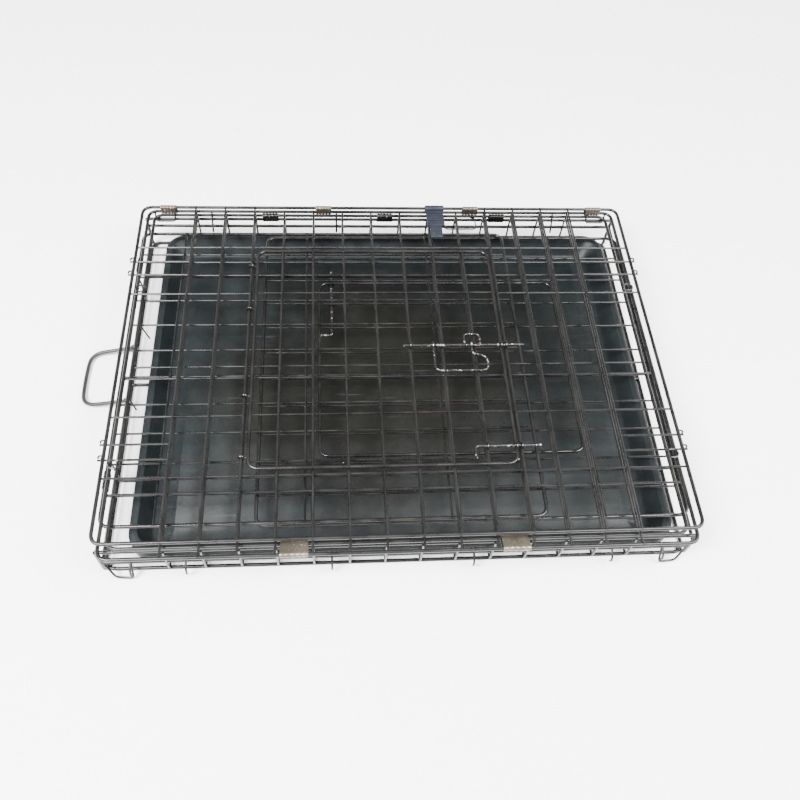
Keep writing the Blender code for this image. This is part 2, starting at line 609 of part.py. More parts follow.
def assemble():
    """Make every piece and hang the moving ones on their joint axes."""
    make_floor_grid()
    clips = make_clips()
    pan = make_pan()
    hang(pan, pivot("pan_slide", (0.0, 0.0, PAN_BOTTOM)))
    left_axis = pivot("left_end_axis", (-HALF_X, 0.0, LEFT_END_Z))
    hang(make_left_end(), left_axis)
    right_axis = pivot("right_end_axis", (HALF_X, 0.0, RIGHT_END_Z))
    hang(make_right_end(), right_axis)
    end_door_axis = pivot("end_door_axis", (0.0, END_DOOR_HINGE_Y, END_DOOR_Z), right_axis)
    hang(make_end_door(), end_door_axis)
    upper, lower, loop, end_rod = make_bolts()
    hang(end_rod, pivot("end_bolt_slide", (END_BOLT_X, 0.11, END_BOLT_Z), end_door_axis))
    back_axis = pivot("back_axis", (0.0, HALF_Y, BACK_Z))
    hang(make_back(), back_axis)
    roof_axis = pivot("roof_axis", (0.0, ROOF_HINGE_Y, ROOF_Z), back_axis)
    hang(make_roof(), roof_axis)
    front_axis = pivot("front_axis", (0.0, HALF_Y, FRONT_Z), roof_axis)
    hang(make_front(), front_axis)
    for piece in clips["roof"]:
        hang(piece, back_axis)
    for piece in clips["front"]:
        hang(piece, roof_axis)
    door_axis = pivot("side_door_axis", (DOOR_HINGE_X, 0.0, DOOR_Z), front_axis)
    hang(make_side_door(), door_axis)
    rod_axis = pivot("upper_bolt_slide", (0.074, UPPER_BOLT_Y, BOLT_Z), door_axis)
    hang(upper, rod_axis)
    hang(loop, pivot("upper_bolt_loop_axis", (0.074, UPPER_BOLT_Y, BOLT_Z), rod_axis))
    hang(lower, pivot("lower_bolt_slide", (0.11, LOWER_BOLT_Y, BOLT_Z), door_axis))
    hang(make_travel_clip(), pivot("travel_clip_axis", (TRAVEL_X, HALF_Y, FRONT_Z), front_axis))
    hang(make_handle(), pivot("handle_axis", (-HALF_X, 0.0, HANDLE_Z)))


assemble()
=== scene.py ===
"""Looks for the folded wire dog crate: welded wire panels, pan, clips, bolts and handle."""
import json
import random
from math import cos, pi, radians, sin

import bpy
from mathutils import Matrix, Vector


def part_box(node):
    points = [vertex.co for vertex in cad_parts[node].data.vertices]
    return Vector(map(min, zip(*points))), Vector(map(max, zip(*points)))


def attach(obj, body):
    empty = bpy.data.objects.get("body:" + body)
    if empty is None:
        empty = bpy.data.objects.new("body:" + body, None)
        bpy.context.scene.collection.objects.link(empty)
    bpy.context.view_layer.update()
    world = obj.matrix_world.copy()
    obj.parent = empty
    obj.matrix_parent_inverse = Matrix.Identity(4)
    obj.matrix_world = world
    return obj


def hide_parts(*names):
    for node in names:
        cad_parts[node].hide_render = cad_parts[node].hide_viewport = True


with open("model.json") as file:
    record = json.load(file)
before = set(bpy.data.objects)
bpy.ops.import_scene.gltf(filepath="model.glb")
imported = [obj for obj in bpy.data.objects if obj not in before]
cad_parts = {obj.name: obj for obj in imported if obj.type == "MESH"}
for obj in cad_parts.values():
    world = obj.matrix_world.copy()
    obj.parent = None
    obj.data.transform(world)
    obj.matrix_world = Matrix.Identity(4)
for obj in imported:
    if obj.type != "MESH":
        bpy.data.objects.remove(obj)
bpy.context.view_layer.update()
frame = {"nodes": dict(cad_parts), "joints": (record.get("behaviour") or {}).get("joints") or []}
random.seed(24)

# ---------------------------------------------------------------- sizes read from the frame
JOINTS = {joint["name"]: joint for joint in frame["joints"]}
FRAME_R = 0.0020            # wire radii
GRID_R = 0.0012
DOOR_R = 0.0018
BOLT_R = 0.0015
EYE_R = 0.0012
CURL_R = 0.0010
HANDLE_R = 0.0022
GAP = 0.0003                # clearance between touching pieces
WEAVE = 0.0011              # grid wires sit this far above and below their panel's middle
DOOR_WEAVE = 0.0010
END_WEAVE = 0.0007
WELD_SINK = 0.0006          # how deep two wires welded side by side sink into each other
BEND = 0.012                # bend radius at a panel's corners
SMALL_BEND = 0.004          # bend radius of hooks and rod ends
PROUD = 0.0007              # wire ends stand this far past the wire they are welded to
CLIP_SHEET = 0.0006

HALF_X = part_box("floor_grid")[1].x - FRAME_R
HALF_Y = JOINTS["back_hinge"]["pos_m"][1]
BACK_Z = JOINTS["back_hinge"]["pos_m"][2]
ROOF_Y = JOINTS["roof_hinge"]["pos_m"][1]
ROOF_Z = JOINTS["roof_hinge"]["pos_m"][2]
FRONT_Z = JOINTS["front_hinge"]["pos_m"][2]
STEP = FRONT_Z - ROOF_Z
LEFT_END_Z = BACK_Z - STEP
RIGHT_END_Z = LEFT_END_Z - STEP
RIGHT_LIP_Z = RIGHT_END_Z - STEP
FLOOR_Z = FRAME_R + 0.0001
MID_LIP_Z = 0.020           # middle wire of the near lip
FAR_MID_LIP_Z = 0.0335
FLOOR_RUN_Y = 0.126         # the floor's two wires along X, one each side of its middle wire
BACK_NEAR_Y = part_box("back_panel")[0].y + FRAME_R
DOOR_HINGE_X, _, DOOR_Z = JOINTS["side_door_hinge"]["pos_m"]
PITCH = -DOOR_HINGE_X / 4.5
DOOR_LATCH_X = 3.5 * PITCH
GRID_XS = [(k - 6.5) * PITCH for k in range(14)]
END_YS = [(k - 4.5) * PITCH for k in range(10)]
HOOK_XS = (-0.2745, -6 * PITCH, -2 * PITCH, 2 * PITCH, 6 * PITCH, 0.2745)
HOOK_OUT = 0.0108           # how far the near hooks and loops stand out of the near lip
BACK_YS = (-0.150, -0.010, 0.125)           # wires along the back panel
ROOF_YS = (-0.170, -0.030, 0.140)           # wires along the roof panel
ROOF_HOOK_XS = (-6 * PITCH, -0.0625, 0.0625, 6 * PITCH)
ROOF_HOOK_POINTS = ((0.0, 0.001), (0.005, -0.006), (0.0105, -0.018), (0.0120, -0.0235))   # in and up
LOOP_IN = 0.0050                            # the roof's corner loops: in from its edge, and down
LOOP_DOWN = 0.012
STUB_YS = (0.135, 0.1145, -0.116, -0.134)   # wire ends that stand past the front panel's sides
LEFT_END_XS = (-0.250, -0.100, 0.050)       # wires across the left end panel
END_MIDDLE_X = 0.060                        # wire across the right end panel and its door
END_EYE_XS = (-0.060, 0.020, 0.130)
DOOR_EYE_YS = (0.125, 0.060, -0.060, -0.135)
DOOR_X = (DOOR_HINGE_X + 0.0070, 0.1225)
DOOR_Y = (-0.148, 0.150)
SILL_Y = -0.155
HEADER_Y = 0.158
DOOR_RAILS = (0.085, -0.083)
_, UPPER_BOLT_Y, BOLT_Z = JOINTS["upper_loop_turn"]["pos_m"]
LOWER_BOLT_Y = -0.129
BOLT_TIP_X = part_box("upper_bolt_rod")[1].x
END_HALF_Y = 0.199
END_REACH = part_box("left_end_panel")[1].x - FRAME_R
END_DOOR_X = (-0.085, 0.205)
END_DOOR_HALF_Y = 0.1235
END_DOOR_Z = RIGHT_END_Z - WEAVE
ROOF_HALF_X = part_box("roof_panel")[1].x - FRAME_R
BACK_HALF_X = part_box("back_panel")[1].x - FRAME_R
END_BOLT_Z = END_DOOR_Z - END_WEAVE - GRID_R - GAP - BOLT_R
END_BOLT_X = -0.070
END_BOLT_Y = (0.046, 0.146)     # its bent end and its tip
BOLT_TAIL = 0.016               # length of the bent end that a finger pulls
UPPER_TAIL_X = 0.0102
LOWER_TAIL_X = 0.078
STAPLE_X = (0.080, 0.098)       # small bail welded to the upper rod
STAPLE_Y = 0.0185
LOOP_X = (0.044, 0.104)         # the pull loop's two sides
LOOP_EYE_X = 0.0875             # its right side jogs in to this eye
LOOP_JOG_Y = (-0.0125, -0.0085)
HANDLE_X, _, HANDLE_Z = JOINTS["handle_hinge"]["pos_m"]
HANDLE_YS = (-0.030, 0.045)
handle_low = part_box("carry_handle")[0]
pan_low, pan_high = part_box("pan")
clip_low, clip_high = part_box("travel_clip")
loop_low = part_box("upper_bolt_loop")[0]


# ---------------------------------------------------------------- shader groups
def new_group(name, inputs, outputs):
    """An empty shader node group with float or colour sockets."""
    group = bpy.data.node_groups.new(name, "ShaderNodeTree")
    for label, kind, value in inputs:
        socket = group.interface.new_socket(label, in_out="INPUT", socket_type=kind)
        socket.default_value = value
    for label, kind in outputs:
        group.interface.new_socket(label, in_out="OUTPUT", socket_type=kind)
    nodes = group.nodes
    return group, nodes.new("NodeGroupInput"), nodes.new("NodeGroupOutput")


def noise_node(nodes, links, vector, scale, detail=4.0, rough=0.55):
    """A noise texture read at a place."""
    made = nodes.new("ShaderNodeTexNoise")
    made.inputs["Detail"].default_value = detail
    made.inputs["Roughness"].default_value = rough
    if isinstance(scale, (int, float)):
        made.inputs["Scale"].default_value = scale
    else:
        links.new(scale, made.inputs["Scale"])
    links.new(vector, made.inputs["Vector"])
    return made


def range_node(nodes, links, value, low, high, to_low=0.0, to_high=1.0):
    """A clamped Map Range on a value."""
    made = nodes.new("ShaderNodeMapRange")
    links.new(value, made.inputs["Value"])
    for label, number in (("From Min", low), ("From Max", high), ("To Min", to_low), ("To Max", to_high)):
        made.inputs[label].default_value = number
    return made


def math_node(nodes, links, operation, first, second):
    """A Math node whose inputs are sockets or numbers."""
    made = nodes.new("ShaderNodeMath")
    made.operation = operation
    for slot_number, value in enumerate((first, second)):
        if isinstance(value, (int, float)):
            made.inputs[slot_number].default_value = value
        else:
            links.new(value, made.inputs[slot_number])
    return made


def dust_group():
    """Mask of dust that settles on faces that look up, broken into specks and smears."""
    group, start, end = new_group(
        "settled_dust",
        (("Speck Scale", "NodeSocketFloat", 900.0), ("Amount", "NodeSocketFloat", 0.5)),
        (("Mask", "NodeSocketFloat"), ("Height", "NodeSocketFloat")),
    )
    nodes, links = group.nodes, group.links
    place = nodes.new("ShaderNodeTexCoord")
    facing = nodes.new("ShaderNodeNewGeometry")
    split = nodes.new("ShaderNodeSeparateXYZ")
    links.new(facing.outputs["Normal"], split.inputs[0])
    up = range_node(nodes, links, split.outputs["Z"], 0.1, 0.95)
    specks = noise_node(nodes, links, place.outputs["Object"], start.outputs["Speck Scale"], 3.0, 0.7)
    speck_mask = range_node(nodes, links, specks.outputs["Fac"], 0.52, 0.66)
    smears = noise_node(nodes, links, place.outputs["Object"], 23.0, 5.0, 0.6)
    smear_mask = range_node(nodes, links, smears.outputs["Fac"], 0.38, 0.68, 0.15, 1.0)
    both = math_node(nodes, links, "MULTIPLY", speck_mask.outputs[0], smear_mask.outputs[0])
    lying = math_node(nodes, links, "MULTIPLY", both.outputs[0], up.outputs[0])
    scaled = math_node(nodes, links, "MULTIPLY", lying.outputs[0], start.outputs["Amount"])
    links.new(scaled.outputs[0], end.inputs["Mask"])
    links.new(specks.outputs["Fac"], end.inputs["Height"])
    return group


def wear_group():
    """Mask of coating rubbed through on edges, and where wires touch."""
    group, start, end = new_group(
        "rubbed_edges",
        (("Scale", "NodeSocketFloat", 160.0), ("Threshold", "NodeSocketFloat", 0.62)),
        (("Mask", "NodeSocketFloat"),),
    )
    nodes, links = group.nodes, group.links
    place = nodes.new("ShaderNodeTexCoord")
    shape = nodes.new("ShaderNodeNewGeometry")
    patches = noise_node(nodes, links, place.outputs["Object"], start.outputs["Scale"], 6.0, 0.65)
    over = math_node(nodes, links, "SUBTRACT", patches.outputs["Fac"], start.outputs["Threshold"])
    sharp = range_node(nodes, links, shape.outputs["Pointiness"], 0.58, 0.75, 0.0, 0.08)
    total = math_node(nodes, links, "ADD", over.outputs[0], sharp.outputs[0])
    mask = range_node(nodes, links, total.outputs[0], 0.0, 0.06)
    links.new(mask.outputs[0], end.inputs["Mask"])
    return group


def skin_group():
    """Fine bump of a coated or moulded skin: orange peel plus grain."""
    group, start, end = new_group(
        "skin_texture",
        (("Peel Scale", "NodeSocketFloat", 420.0), ("Grain Scale", "NodeSocketFloat", 2600.0),
         ("Grain Share", "NodeSocketFloat", 0.4)),
        (("Height", "NodeSocketFloat"), ("Tone", "NodeSocketFloat")),
    )
    nodes, links = group.nodes, group.links
    place = nodes.new("ShaderNodeTexCoord")
    peel = noise_node(nodes, links, place.outputs["Object"], start.outputs["Peel Scale"], 2.0, 0.5)
    grain = noise_node(nodes, links, place.outputs["Object"], start.outputs["Grain Scale"], 2.0, 0.6)
    share = math_node(nodes, links, "MULTIPLY", grain.outputs["Fac"], start.outputs["Grain Share"])
    total = math_node(nodes, links, "ADD", peel.outputs["Fac"], share.outputs[0])
    tone = noise_node(nodes, links, place.outputs["Object"], 31.0, 5.0, 0.6)
    links.new(total.outputs[0], end.inputs["Height"])
    links.new(tone.outputs["Fac"], end.inputs["Tone"])
    return group


DUST = dust_group()
WEAR = wear_group()
SKIN = skin_group()


def grouped(tree, group, **values):
    """A group node in a material, with its own values."""
    node = tree.nodes.new("ShaderNodeGroup")
    node.node_tree = group
    for label, value in values.items():
        node.inputs[label.replace("_", " ")].default_value = value
    return node


def mixed(tree, factor, first, second):
    """A colour mix; each colour is a tuple or a socket."""
    node = tree.nodes.new("ShaderNodeMix")
    node.data_type = "RGBA"
    tree.links.new(factor, node.inputs[0])
    for socket, value in ((node.inputs[6], first), (node.inputs[7], second)):
        if isinstance(value, tuple):
            socket.default_value = (*value, 1.0)
        else:
            tree.links.new(value, socket)
    return node.outputs[2]


def blank(name):
    """A new material and its tree, Principled node and links."""
    made = bpy.data.materials.new(name)
    made.use_nodes = True
    tree = made.node_tree
    return made, tree, tree.nodes["Principled BSDF"]


def bumped(tree, shader, height, strength, distance):
    """Drive a shader's normal from a height."""
    bump = tree.nodes.new("ShaderNodeBump")
    bump.inputs["Strength"].default_value = strength
    bump.inputs["Distance"].default_value = distance
    tree.links.new(height, bump.inputs["Height"])
    tree.links.new(bump.outputs["Normal"], shader.inputs["Normal"])


def coated_wire(name, dark, warm, worn, threshold, gloss):
    """Electro-coated steel wire: near black, patchy, dusty on top and rubbed where it catches."""
    made, tree, shader = blank(name)
    skin = grouped(tree, SKIN, Peel_Scale=700.0, Grain_Scale=3200.0, Grain_Share=0.35)
    dust = grouped(tree, DUST, Speck_Scale=1400.0, Amount=0.05)
    wear = grouped(tree, WEAR, Scale=210.0, Threshold=threshold)
    tone = range_node(tree.nodes, tree.links, skin.outputs["Tone"], 0.35, 0.68)
    coat = mixed(tree, tone.outputs[0], dark, warm)
    rubbed = mixed(tree, wear.outputs["Mask"], coat, worn)
    dusty = mixed(tree, dust.outputs["Mask"], rubbed, (0.20, 0.195, 0.18))
    tree.links.new(dusty, shader.inputs["Base Color"])
    rough = range_node(tree.nodes, tree.links, skin.outputs["Tone"], 0.3, 0.7, gloss, gloss + 0.20)
    dull = math_node(tree.nodes, tree.links, "MULTIPLY", dust.outputs["Mask"], 0.35)
    total = math_node(tree.nodes, tree.links, "ADD", rough.outputs[0], dull.outputs[0])
    tree.links.new(total.outputs[0], shader.inputs["Roughness"])
    metal = math_node(tree.nodes, tree.links, "MULTIPLY", wear.outputs["Mask"], 0.85)
    tree.links.new(metal.outputs[0], shader.inputs["Metallic"])
    shader.inputs["Specular IOR Level"].default_value = 0.4
    bumped(tree, shader, skin.outputs["Height"], 0.2, 0.00008)
    return made


def sliding_bolt():
    """Bolt rod: glossy coat worn through to bright steel in patches."""
    made, tree, shader = blank("bolt_rod_finish")
    skin = grouped(tree, SKIN, Peel_Scale=600.0, Grain_Scale=4200.0, Grain_Share=0.5)
    wear = grouped(tree, WEAR, Scale=260.0, Threshold=0.57)
    coat = mixed(tree, skin.outputs["Tone"], (0.004, 0.004, 0.004), (0.014, 0.013, 0.012))
    tree.links.new(mixed(tree, wear.outputs["Mask"], coat, (0.62, 0.60, 0.57)), shader.inputs["Base Color"])
    tree.links.new(wear.outputs["Mask"], shader.inputs["Metallic"])
    rough = range_node(tree.nodes, tree.links, skin.outputs["Tone"], 0.3, 0.7, 0.16, 0.34)
    tree.links.new(rough.outputs[0], shader.inputs["Roughness"])
    bumped(tree, shader, skin.outputs["Height"], 0.3, 0.0001)
    return made


def clip_sheet(name, deep, pale, shine):
    """Passivated or blackened sheet steel, drawn along the wires."""
    made, tree, shader = blank(name)
    place = tree.nodes.new("ShaderNodeTexCoord")
    stretch = tree.nodes.new("ShaderNodeMapping")
    stretch.inputs["Scale"].default_value = (60.0, 2400.0, 2400.0)
    tree.links.new(place.outputs["Object"], stretch.inputs["Vector"])
    drawn = noise_node(tree.nodes, tree.links, stretch.outputs["Vector"], 1.0, 3.0, 0.6)
    skin = grouped(tree, SKIN, Peel_Scale=260.0, Grain_Scale=1900.0, Grain_Share=0.5)
    wear = grouped(tree, WEAR, Scale=330.0, Threshold=0.60)
    tone = range_node(tree.nodes, tree.links, skin.outputs["Tone"], 0.35, 0.65)
    base = mixed(tree, tone.outputs[0], deep, pale)
    tree.links.new(mixed(tree, wear.outputs["Mask"], base, shine), shader.inputs["Base Color"])
    shader.inputs["Metallic"].default_value = 0.8
    rough = range_node(tree.nodes, tree.links, drawn.outputs["Fac"], 0.3, 0.7, 0.30, 0.52)
    tree.links.new(rough.outputs[0], shader.inputs["Roughness"])
    bumped(tree, shader, drawn.outputs["Fac"], 0.25, 0.00012)
    return made


def middle_mask(tree, half_x, half_y):
    """Mask of the painted shade: 0 at the middle of a wide piece to 1 at its edges, with an uneven border."""
    place = tree.nodes.new("ShaderNodeTexCoord")
    shrink = tree.nodes.new("ShaderNodeMapping")
    shrink.inputs["Scale"].default_value = (1 / half_x, 1 / half_y, 0.0)
    tree.links.new(place.outputs["Object"], shrink.inputs["Vector"])
    away = tree.nodes.new("ShaderNodeVectorMath")
    away.operation = "LENGTH"
    tree.links.new(shrink.outputs["Vector"], away.inputs[0])
    ragged = noise_node(tree.nodes, tree.links, place.outputs["Object"], 9.0, 3.0, 0.5)
    total = math_node(tree.nodes, tree.links, "ADD", away.outputs["Value"], ragged.outputs["Fac"])
    return range_node(tree.nodes, tree.links, total.outputs[0], 0.95, 1.45).outputs[0]


def moulded(name, deep, pale, scuff, scuff_limit, rough_low, rough_high, dust_amount, shaded_middle=None):
    """Moulded plastic: fine grain, cloudy tone, scuffs and dust; the last colour, if given, is painted shade
    on its middle, darker than its edges.
    """
    made, tree, shader = blank(name)
    skin = grouped(tree, SKIN, Peel_Scale=340.0, Grain_Scale=2100.0, Grain_Share=0.8)
    dust = grouped(tree, DUST, Speck_Scale=1100.0, Amount=dust_amount)
    place = tree.nodes.new("ShaderNodeTexCoord")
    turn = tree.nodes.new("ShaderNodeMapping")
    turn.inputs["Rotation"].default_value = (0.0, 0.0, 0.5)
    turn.inputs["Scale"].default_value = (14.0, 260.0, 60.0)
    tree.links.new(place.outputs["Object"], turn.inputs["Vector"])
    streaks = noise_node(tree.nodes, tree.links, turn.outputs["Vector"], 1.0, 4.0, 0.6)
    scuffed = range_node(tree.nodes, tree.links, streaks.outputs["Fac"], scuff_limit, scuff_limit + 0.09)
    tone = range_node(tree.nodes, tree.links, skin.outputs["Tone"], 0.30, 0.70)
    base = mixed(tree, tone.outputs[0], deep, pale)
    # painted shade: the middle is painted a darker, warmer colour, and the edges keep the lighter colours as
    # if their walls catch the light
    if shaded_middle:
        base = mixed(tree, middle_mask(tree, 0.29, 0.22), shaded_middle, base)
    marked = mixed(tree, scuffed.outputs[0], base, scuff)
    tree.links.new(mixed(tree, dust.outputs["Mask"], marked, (0.30, 0.29, 0.26)), shader.inputs["Base Color"])
    rough = range_node(tree.nodes, tree.links, skin.outputs["Tone"], 0.3, 0.7, rough_low, rough_high)
    tree.links.new(rough.outputs[0], shader.inputs["Roughness"])
    shader.inputs["Specular IOR Level"].default_value = 0.17
    bumped(tree, shader, skin.outputs["Height"], 0.4, 0.00015)
    return made


WIRE = coated_wire("black_coat", (0.0030, 0.0032, 0.0031), (0.0075, 0.0076, 0.0070), (0.16, 0.155, 0.14),
                   0.745, 0.20)
DOOR_WIRE = coated_wire("black_coat_glossy", (0.003, 0.003, 0.003), (0.009, 0.008, 0.007), (0.26, 0.24, 0.21),
                        0.725, 0.14)
HANDLE_WIRE = coated_wire("handle_coat", (0.007, 0.007, 0.006), (0.018, 0.017, 0.015), (0.20, 0.19, 0.17),
                          0.70, 0.30)
BOLT = sliding_bolt()
CLIP = clip_sheet("clip_tan", (0.085, 0.072, 0.052), (0.165, 0.145, 0.112), (0.40, 0.37, 0.32))
CLIP_DARK = clip_sheet("clip_brown", (0.050, 0.040, 0.030), (0.115, 0.098, 0.078), (0.30, 0.27, 0.23))
CLIP_BLACK = clip_sheet("clip_black", (0.008, 0.008, 0.008), (0.022, 0.020, 0.018), (0.20, 0.18, 0.15))
# the pan's last colour is painted shade on its middle, darker and warmer than its lighter edges
PAN = moulded("pan_plastic_skin", (0.0040, 0.0056, 0.0062), (0.0080, 0.0108, 0.0118), (0.016, 0.020, 0.021),
              0.64, 0.34, 0.46, 0.10, (0.0040, 0.0041, 0.0033))
NAVY = moulded("navy_plastic_skin", (0.0065, 0.0075, 0.0125), (0.0110, 0.0128, 0.0195),
               (0.028, 0.031, 0.040), 0.62, 0.36, 0.50, 0.15)


# ---------------------------------------------------------------- modelling helpers
def deselect():
    """Nothing selected, so that an operator acts only on what is chosen next."""
    bpy.ops.object.select_all(action="DESELECT")


def choose(pieces):
    """Select some objects; the first is active."""
    deselect()
    for piece in pieces:
        piece.select_set(True)
    bpy.context.view_layer.objects.active = pieces[0]


def merged(name, pieces):
    """Join objects into one named piece."""
    choose(pieces)
    if len(pieces) > 1:
        bpy.ops.object.join()
    piece = bpy.context.view_layer.objects.active
    piece.name = name
    piece.data.name = name
    return piece


def settle(piece, angle=35):
    """Apply a piece's place and modifiers and shade it smooth up to an angle."""
    choose([piece])
    bpy.ops.object.transform_apply(location=True, rotation=True, scale=True)
    for modifier in list(piece.modifiers):
        bpy.ops.object.modifier_apply(modifier=modifier.name)
    bpy.ops.object.shade_smooth_by_angle(angle=radians(angle))
    return piece


def bent(points, bend, steps=5, closed=False):
    """Points of a path whose corners are rounded to a bend radius."""
    spots = [Vector(p) for p in points]
    count = len(spots)
    path = []
    for index, corner in enumerate(spots):
        if not closed and index in (0, count - 1):
            path.append(corner)
            continue
        before = spots[index - 1] - corner
        after = spots[(index + 1) % count] - corner
        reach = min(bend, before.length * 0.49, after.length * 0.49)
        first = corner + before.normalized() * reach
        last = corner + after.normalized() * reach
        for step in range(steps + 1):
            t = step / steps
            path.append(first.lerp(corner, t).lerp(corner.lerp(last, t), t))
    return path


def slack(start, end, parts=9, sway=0.00022):
    """A straight wire that is very slightly out of true, as drawn wire is."""
    start = Vector(start)
    end = Vector(end)
    run = end - start
    side = run.cross(Vector((0, 0, 1))).normalized()
    size = sway * random.uniform(-1.0, 1.0)
    lift = sway * 0.5 * random.uniform(-1.0, 1.0)
    waves = random.choice((1, 1, 2))
    path = []
    for part in range(parts + 1):
        t = part / parts
        bow = sin(pi * waves * t)
        path.append(start + run * t + side * size * bow + Vector((0, 0, lift * sin(pi * t))))
    return path


def wire_mesh(name, paths, radius, sides=3, closed=False):
    """Round wires along paths as a mesh; each spline is drawn, converted and its ends welded shut."""
    curve = bpy.data.curves.new(name, "CURVE")
    curve.dimensions = "3D"
    curve.bevel_depth = radius
    curve.bevel_resolution = sides
    curve.use_fill_caps = True
    for path in paths:
        spline = curve.splines.new("POLY")
        spline.points.add(len(path) - 1)
        spline.use_cyclic_u = closed
        for point, place in zip(spline.points, path):
            point.co = (*place, 1.0)
    piece = bpy.data.objects.new(name, curve)
    bpy.context.scene.collection.objects.link(piece)
    choose([piece])
    bpy.ops.object.convert(target="MESH")
    piece = bpy.context.view_layer.objects.active
    bpy.ops.object.mode_set(mode="EDIT")
    bpy.ops.mesh.select_all(action="SELECT")
    bpy.ops.mesh.remove_doubles(threshold=1e-6)
    bpy.ops.mesh.normals_make_consistent(inside=False)
    bpy.ops.object.mode_set(mode="OBJECT")
    return piece


def coil_path(centre, axis, radius, turns, start_angle, rise, steps=12):
    """Points of a curl of wire round an axis."""
    spin = Vector((0, 0, 1)).rotation_difference(Vector(axis)).to_matrix()
    total = int(steps * turns)
    return [Vector(centre) + spin @ Vector((radius * cos(start_angle + 2 * pi * k / steps),
                                            radius * sin(start_angle + 2 * pi * k / steps),
                                            rise * (k / total - 0.5))) for k in range(total + 1)]


def eye(name, centre, axis, bore):
    """A closed ring of wire round a rod."""
    path = coil_path(centre, axis, bore + GAP + EYE_R, 1.0, 0.0, 0.0)
    return wire_mesh(name, [path[:-1]], EYE_R, 2, closed=True)


def weld_beads(name, places):
    """Small flattened weld nuggets at wire crossings, one shape copied to each place."""
    deselect()
    bpy.ops.mesh.primitive_ico_sphere_add(subdivisions=2, radius=0.0011)
    seed = bpy.context.object
    bpy.ops.object.mode_set(mode="EDIT")
    bpy.ops.mesh.select_all(action="SELECT")
    bpy.ops.transform.resize(value=(1.35, 1.35, 0.75))
    bpy.ops.object.mode_set(mode="OBJECT")
    beads = [seed]
    for _ in places[1:]:
        copy = seed.copy()
        copy.data = seed.data.copy()
        bpy.context.scene.collection.objects.link(copy)
        beads.append(copy)
    for bead, place in zip(beads, places):
        bead.location = Vector(place)
        bead.rotation_euler = (random.uniform(-0.3, 0.3), random.uniform(-0.3, 0.3), random.uniform(0, pi))
        stretch = random.uniform(0.85, 1.25)
        bead.scale = (stretch, random.uniform(0.85, 1.2), random.uniform(0.8, 1.1))
    piece = merged(name, beads)
    choose([piece])
    bpy.ops.object.transform_apply(location=True, rotation=True, scale=True)
    return piece


def crossings(x_spans, y_spans, z):
    """Places where wires along X cross wires along Y."""
    return [(x, y, z) for y, x0, x1 in x_spans for x, y0, y1 in y_spans
            if x0 - 0.001 <= x <= x1 + 0.001 and y0 - 0.001 <= y <= y1 + 0.001]


def rectangle(x_range, y_range, z, bend=BEND):
    """Closed path of a bent frame wire."""
    corners = [(x_range[1], y_range[0], z), (x_range[1], y_range[1], z),
               (x_range[0], y_range[1], z), (x_range[0], y_range[0], z)]
    return bent(corners, bend, 8, closed=True)


def side_points(path, parts=8):
    """Add points along the long straight stretches of a closed path, slightly out of true."""
    full = []
    for here, after in zip(path, path[1:] + path[:1]):
        full.append(here)
        if (after - here).length > 0.1:
            inner = slack(here, after, parts, 0.00018)[1:-1]
            full += inner
    return full


def wire_panel(name, x_range, y_range, z, x_spans, y_spans, frame_r=FRAME_R, weave=WEAVE, extras=()):
    """A welded panel: frame, wires along X under it, wires along Y over it, and weld nuggets."""
    outline = side_points(rectangle(x_range, y_range, z))
    frame_wire = wire_mesh(name + "_frame", [outline], frame_r, 4, closed=True)
    lower = [slack((x0 - PROUD, y, z - weave), (x1 + PROUD, y, z - weave)) for y, x0, x1 in x_spans]
    upper = [slack((x, min(y0, y1) - PROUD, z + weave), (x, max(y0, y1) + PROUD, z + weave))
             for x, y0, y1 in y_spans]
    grid = wire_mesh(name + "_grid", lower + upper, GRID_R, 3)
    spots = crossings(x_spans, y_spans, z)
    beads = weld_beads(name + "_welds", spots)
    return merged(name, [frame_wire, grid, beads, *extras])


def dress(piece, look, body, nodes, angle=35):
    """Give a finished piece its material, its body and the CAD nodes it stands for."""
    settle(piece, angle)
    piece.data.materials.clear()
    piece.data.materials.append(look)
    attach(piece, body)
    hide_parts(*nodes)
    return piece


def edit(select_mode="FACE"):
    """Enter edit mode with nothing selected."""
    bpy.ops.object.mode_set(mode="EDIT")
    bpy.ops.mesh.select_mode(type=select_mode)
    bpy.ops.mesh.select_all(action="DESELECT")


def pick(piece, kind, test):
    """Select the faces, edges or vertices that pass a test, from inside edit mode."""
    bpy.ops.mesh.select_all(action="DESELECT")
    bpy.ops.object.mode_set(mode="OBJECT")
    mesh = piece.data
    if kind == "FACE":
        for face in mesh.polygons:
            face.select = test(face)
    elif kind == "EDGE":
        for edge in mesh.edges:
            edge.select = test(*(mesh.vertices[v].co for v in edge.vertices))
    else:
        for vertex in mesh.vertices:
            vertex.select = test(vertex.co)
    bpy.ops.object.mode_set(mode="EDIT")


def block(name, centre, size):
    """A cube of a given size and place, ready to be shaped."""
    deselect()
    bpy.ops.mesh.primitive_cube_add(size=1.0, location=centre)
    piece = bpy.context.object
    piece.name = name
    piece.scale = size
    bpy.ops.object.transform_apply(location=True, rotation=True, scale=True)
    return piece


